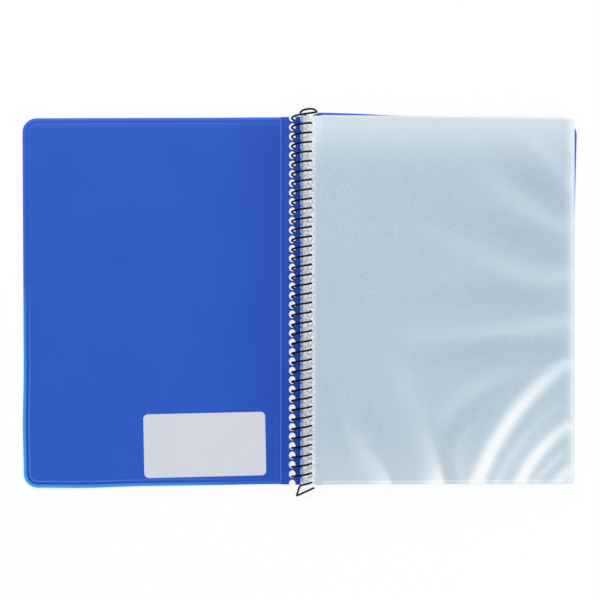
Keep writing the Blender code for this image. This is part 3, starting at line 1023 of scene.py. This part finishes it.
def pockets(punching, film, strip_film):
    lines = pocket_lines()
    paths = fold_paths()
    size = (POCKET_HEIGHT / 2, FILM)
    hole = (LEAF_HOLE_WIDTH, LEAF_HOLE_INWARD)
    for number in range(1, POCKETS + 1):
        single = number <= SINGLE_POCKETS
        first = (number - 1) // SHEAF * SHEAF + 1
        body = f"pocket_{number:02d}" if single else f"sheaf_{first:02d}_{first + SHEAF - 1:02d}"
        piece = sleeve(number, lines, paths, film)
        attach(piece, body)
        if single:
            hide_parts(body + "_front_film", body + "_rear_film")
        else:
            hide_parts(f"pocket_{number:02d}")
        piece.visible_shadow = False
        line = leaf_line(number)
        shift = creep(*hole_place(*line))
        name = f"pocket_{number:02d}_punched_strip"
        strip = punched_strip(name, punching, line, size, hole, FLAT_LIE, shift, strip_film)
        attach(strip, body)
        if single or number == first:
            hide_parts(body + "_binding_strip")
        strip.visible_shadow = False


# Coil

def coil_point(turn):
    angle = math.tau * turn
    wide = max(0.0, 1 - (turn - FIRST_TURN) / WIDE_END_TURNS) ** 2
    radius = COIL_RADIUS + WIDE_END_EXTRA * wide
    along = FIRST_CLIMB_Y - COIL_PITCH * turn + WIDE_END_CLIMB * wide
    return Vector((radius * math.cos(angle), along, radius * math.sin(angle)))


def smooth_run(points, before, after):
    """A smooth curve through the points, with the points before and after guiding its ends."""
    guide = [before, *points, after]
    run = []
    for number in range(1, len(guide) - 2):
        first, second, third, fourth = guide[number - 1 : number + 3]
        for step in range(END_STEPS):
            share = step / END_STEPS
            ease = share * share
            cube = ease * share
            point = 2 * second + (third - first) * share
            point += (2 * first - 5 * second + 4 * third - fourth) * ease
            point += (3 * second - first - 3 * third + fourth) * cube
            run.append(0.5 * point)
    return run


def coil_route():
    turns = LAST_TURN - FIRST_TURN
    steps = round(turns * POINTS_PER_TURN)
    helix = [coil_point(FIRST_TURN + turns * step / steps) for step in range(steps + 1)]
    top = [Vector(point) * MM for point in TOP_END]
    bottom = [Vector(point) * MM for point in BOTTOM_END]
    leading = smooth_run([*top, helix[0]], 2 * top[0] - top[1], helix[3])
    trailing = smooth_run([helix[-1], *bottom], helix[-4], 2 * bottom[-1] - bottom[-2])
    return leading + helix[:-1] + trailing + [bottom[-1]]


def wire_tree():
    """A round wire along a path of edges, capped at both ends."""
    inputs = [("Path", "Geometry"), ("Wire radius", "Float"), ("Sides", "Int"), ("Finish", "Material")]
    sheet, given, identifiers = geometry_sheet("wire along a path", inputs)
    path = sheet.node("GeometryNodeMeshToCurve", values={"Mesh": given["Path"]})
    ring_values = {"Resolution": given["Sides"], "Radius": given["Wire radius"]}
    ring = sheet.node("GeometryNodeCurvePrimitiveCircle", {"mode": "RADIUS"}, ring_values)
    wire_values = {"Curve": path, "Profile Curve": ring, "Fill Caps": True}
    wire = sheet.node("GeometryNodeCurveToMesh", values=wire_values)
    ended(sheet, wire, given["Finish"])
    return sheet.tree, identifiers


def spiral_wire(material):
    route = [placed(*point) for point in coil_route()]
    mesh = bpy.data.meshes.new("spiral_wire")
    mesh.from_pydata(route, [(number, number + 1) for number in range(len(route) - 1)], [])
    wire = linked("spiral_wire", mesh)
    tree, identifiers = wire_tree()
    winding = wire.modifiers.new("winding", "NODES")
    winding.node_group = tree
    winding[identifiers["Wire radius"]] = WIRE_DIAMETER / 2
    winding[identifiers["Sides"]] = WIRE_SIDES
    winding[identifiers["Finish"]] = material
    outward(plain_mesh(wire), math.radians(50.0))
    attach(wire, "binding")
    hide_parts("spiral_coil")


# Studio

def area_light(name, place, size, power):
    lamp = bpy.data.lights.new(name, "AREA")
    lamp.shape = "RECTANGLE"
    lamp.size, lamp.size_y = size
    lamp.energy = power
    light = bpy.data.objects.new(name, lamp)
    light.location = place
    light.rotation_euler = (-Vector(place)).to_track_quat("-Z", "Y").to_euler()
    bpy.context.scene.collection.objects.link(light)


def studio():
    scene = bpy.context.scene
    scene.view_settings.view_transform = "Standard"
    world = bpy.data.worlds.new("soft surround")
    world.use_nodes = True
    scene.world = world
    surround = world.node_tree.nodes["Background"]
    surround.inputs["Color"].default_value = (1.0, 1.0, 1.0, 1.0)
    surround.inputs["Strength"].default_value = SURROUND_STRENGTH
    area_light("key softbox", (-0.30, 0.80, 1.10), (0.8, 0.6), 5.0)
    area_light("fore softbox", (0.60, -0.50, 1.00), (0.5, 0.5), 2.5)

    half = FLOOR_SIZE / 2
    mesh = bpy.data.meshes.new("floor")
    corners = [(-half, -half), (half, -half), (half, half), (-half, half)]
    mesh.from_pydata([(x, y, -FLOOR_DROP) for x, y in corners], [], [(0, 1, 2, 3)])
    mesh.materials.append(floor_finish())
    linked("floor", mesh)

    view = bpy.data.cameras.new("camera")
    view.lens = CAMERA_LENS
    view.sensor_width = CAMERA_SENSOR
    view.sensor_fit = "HORIZONTAL"
    view.clip_start = 0.01
    camera = bpy.data.objects.new("camera", view)
    camera.location = CAMERA_PLACE
    camera.rotation_euler = [math.radians(angle) for angle in CAMERA_TURN]
    scene.collection.objects.link(camera)
    scene.camera = camera


def main():
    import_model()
    vinyl = vinyl_finish()
    punching = punching_tree()
    spiral_wire(wire_finish())
    card = board_finish()
    finishes = (punching, vinyl, card)
    back = (BACK_STRIP_INNER, BACK_COVER_LIE, 0.0, 0.0)
    front = (STRIP_INNER, FRONT_COVER_LIE, CURL_HEIGHT, FRONT_HOLE_INWARD)
    cover("back_cover", "binding", 1, *back, *finishes)
    cover("front_cover", "front_cover", -1, *front, *finishes)
    label(paper_finish())
    film = film_finish("clear matt film", FILM_HAZE)
    strip_film = film_finish("welded film strip", STRIP_HAZE, True)
    pockets(punching, film, strip_film)
    studio()


main()
